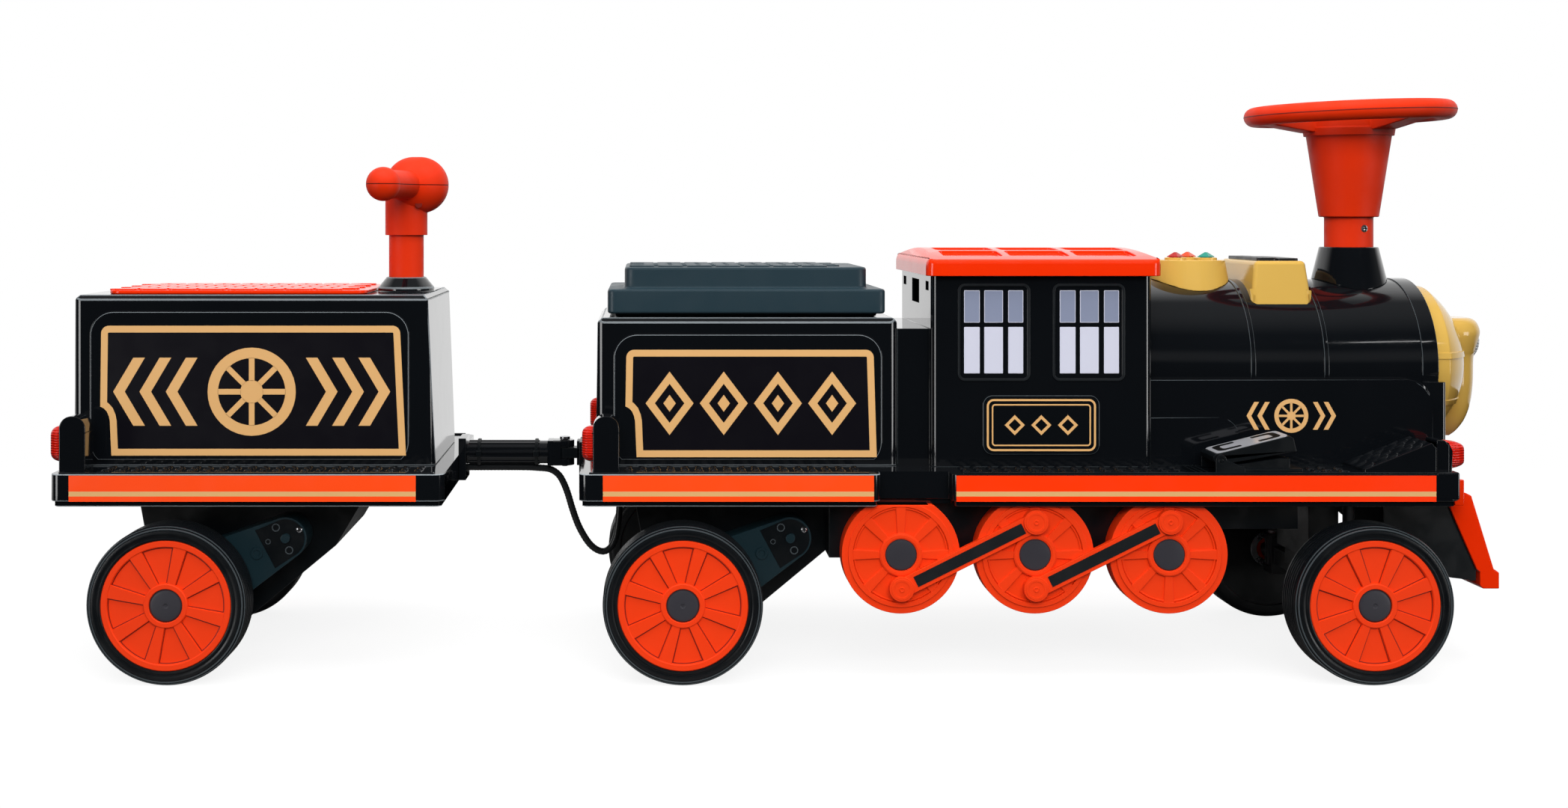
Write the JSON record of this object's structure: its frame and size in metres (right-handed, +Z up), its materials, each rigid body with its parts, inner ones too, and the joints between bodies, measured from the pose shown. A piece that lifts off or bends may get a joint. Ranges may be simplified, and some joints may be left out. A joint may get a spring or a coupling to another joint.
{
  "type": "ride on train",
  "caption": "Electric ride-on steam locomotive toy with tender seat, steerable front wheels and a trailing passenger wagon on a swivelling drawbar.",
  "frame": {"origin": "on the ground, under the middle of the whole train, at rest with the wagon straight behind", "axes": "+X forward along the train, +Y to the driver's left, +Z up"},
  "size_m": [1.887, 0.44, 0.7411],
  "materials": {
    "gloss_black": "high-gloss moulded black",
    "frame_black": "fine-grained moulded black",
    "seat_black": "grained soft-touch black",
    "red_gloss": "gloss orange-red",
    "red_satin": "satin orange-red",
    "cream_gloss": "gloss cream yellow",
    "tyre_rubber": "ribbed black rubber",
    "bright_steel": "zinc-plated steel",
    "painted_steel": "black-painted steel",
    "red_lens": "translucent red plastic lens",
    "clear_lens": "clear plastic lens",
    "jewel_red": "translucent red button",
    "jewel_amber": "translucent amber-red button",
    "jewel_green": "translucent blue-green button",
    "panel_dark": "satin dark panel",
    "cable_sleeve": "ribbed black cable sleeve",
    "battery_grey": "grey battery case"
  },
  "bodies": {
    "loco": {"loco_deck": "gloss_black", "loco_underframe": "frame_black", "tender_box": "gloss_black", "tender_seat": "seat_black", "cab_shell": "gloss_black", "cab_roof_seat": "red_gloss", "boiler_shell": "gloss_black", "smokebox_door": "cream_gloss", "headlamp_hood": "cream_gloss", "headlamp_lens": "clear_lens", "button_pod": "cream_gloss", "media_pod": "cream_gloss", "media_panel": "panel_dark", "funnel_base": "gloss_black", "cowcatcher": "red_gloss", "marker_lenses": "red_lens", "pedal_base": "frame_black", "wheel_trims": "red_satin", "hitch_bracket": "frame_black", "pivot_pins": "bright_steel", "tender_axle": "bright_steel", "tender_gearcases": "frame_black", "tender_motors": "bright_steel", "battery": "battery_grey", "front_axle_beam": "painted_steel"},
    "steering": {"steering_shaft": "bright_steel", "steering_cone": "red_satin", "steering_wheel": "red_satin"},
    "knuckle_right": {"knuckle_right": "painted_steel"},
    "knuckle_left": {"knuckle_left": "painted_steel"},
    "tie_rod": {"tie_rod": "painted_steel"},
    "pedal": {"pedal_plate": "frame_black"},
    "red_button": {"red_button": "jewel_red"},
    "amber_button": {"amber_button": "jewel_amber"},
    "green_button": {"green_button": "jewel_green"},
    "front_wheel_right": {"front_tyre_right": "tyre_rubber", "front_disc_right": "red_satin"},
    "front_wheel_left": {"front_tyre_left": "tyre_rubber", "front_disc_left": "red_satin"},
    "tender_wheel_right": {"tender_tyre_right": "tyre_rubber", "tender_disc_right": "red_satin"},
    "tender_wheel_left": {"tender_tyre_left": "tyre_rubber", "tender_disc_left": "red_satin"},
    "wagon": {"wagon_deck": "gloss_black", "wagon_box": "gloss_black", "wagon_seat": "red_gloss", "handle_post": "red_satin", "handle_lower_shell": "red_satin", "handle_upper_shell": "red_satin", "wagon_lenses": "red_lens", "wagon_underframe": "frame_black", "wagon_axle": "bright_steel", "wagon_gearcases": "frame_black", "wagon_motors": "bright_steel", "drawbar": "gloss_black", "cable": "cable_sleeve"},
    "wagon_wheel_right": {"wagon_tyre_right": "tyre_rubber", "wagon_disc_right": "red_satin"},
    "wagon_wheel_left": {"wagon_tyre_left": "tyre_rubber", "wagon_disc_left": "red_satin"}
  },
  "joints": [
    {"name": "steering_turn", "type": "hinge", "parent": "loco", "child": "steering", "pos_m": [0.7682, 0, 0.56], "axis": [0, 0, 1], "range_deg": [-30, 30]},
    {"name": "knuckle_right_turn", "type": "hinge", "parent": "loco", "child": "knuckle_right", "pos_m": [0.7165, -0.145, 0.1], "axis": [0, 0, 1], "range_deg": [-30, 30]},
    {"name": "knuckle_left_turn", "type": "hinge", "parent": "loco", "child": "knuckle_left", "pos_m": [0.7165, 0.145, 0.1], "axis": [0, 0, 1], "range_deg": [-30, 30]},
    {"name": "tie_rod_swing", "type": "hinge", "parent": "knuckle_left", "child": "tie_rod", "pos_m": [0.7565, 0.145, 0.077], "axis": [0, 0, 1], "range_deg": [-30, 30]},
    {"name": "pedal_press", "type": "hinge", "parent": "loco", "child": "pedal", "pos_m": [0.5305, -0.17, 0.279], "axis": [0, 1, 0], "range_deg": [0, 8], "stiffness_Nm_per_rad": 6, "springref_deg": -2.86},
    {"name": "red_button_press", "type": "slide", "parent": "loco", "child": "red_button", "axis": [0, 0, -1], "range_m": [0, 0.003], "stiffness_N_per_m": 300, "springref_m": -0.001},
    {"name": "amber_button_press", "type": "slide", "parent": "loco", "child": "amber_button", "axis": [0, 0, -1], "range_m": [0, 0.003], "stiffness_N_per_m": 300, "springref_m": -0.001},
    {"name": "green_button_press", "type": "slide", "parent": "loco", "child": "green_button", "axis": [0, 0, -1], "range_m": [0, 0.003], "stiffness_N_per_m": 300, "springref_m": -0.001},
    {"name": "front_wheel_right_spin", "type": "hinge", "parent": "knuckle_right", "child": "front_wheel_right", "pos_m": [0.7165, -0.193, 0.1], "axis": [0, 1, 0], "continuous": true},
    {"name": "front_wheel_left_spin", "type": "hinge", "parent": "knuckle_left", "child": "front_wheel_left", "pos_m": [0.7165, 0.193, 0.1], "axis": [0, 1, 0], "continuous": true},
    {"name": "tender_wheel_right_spin", "type": "hinge", "parent": "loco", "child": "tender_wheel_right", "pos_m": [-0.1447, -0.193, 0.1], "axis": [0, 1, 0], "continuous": true},
    {"name": "tender_wheel_left_spin", "type": "hinge", "parent": "loco", "child": "tender_wheel_left", "pos_m": [-0.1447, 0.193, 0.1], "axis": [0, 1, 0], "continuous": true},
    {"name": "hitch_yaw", "type": "hinge", "parent": "loco", "child": "wagon", "pos_m": [-0.301, 0, 0.263], "axis": [0, 0, 1], "range_deg": [-32, 32], "deforming": ["cable"]},
    {"name": "wagon_wheel_right_spin", "type": "hinge", "parent": "wagon", "child": "wagon_wheel_right", "pos_m": [-0.7882, -0.193, 0.1], "axis": [0, 1, 0], "continuous": true},
    {"name": "wagon_wheel_left_spin", "type": "hinge", "parent": "wagon", "child": "wagon_wheel_left", "pos_m": [-0.7882, 0.193, 0.1], "axis": [0, 1, 0], "continuous": true}
  ],
  "couplings": [
    {"joint": "knuckle_right_turn", "follows": "steering_turn", "ratio": 1},
    {"joint": "knuckle_left_turn", "follows": "steering_turn", "ratio": 1},
    {"joint": "tie_rod_swing", "follows": "steering_turn", "ratio": -1}
  ]
}
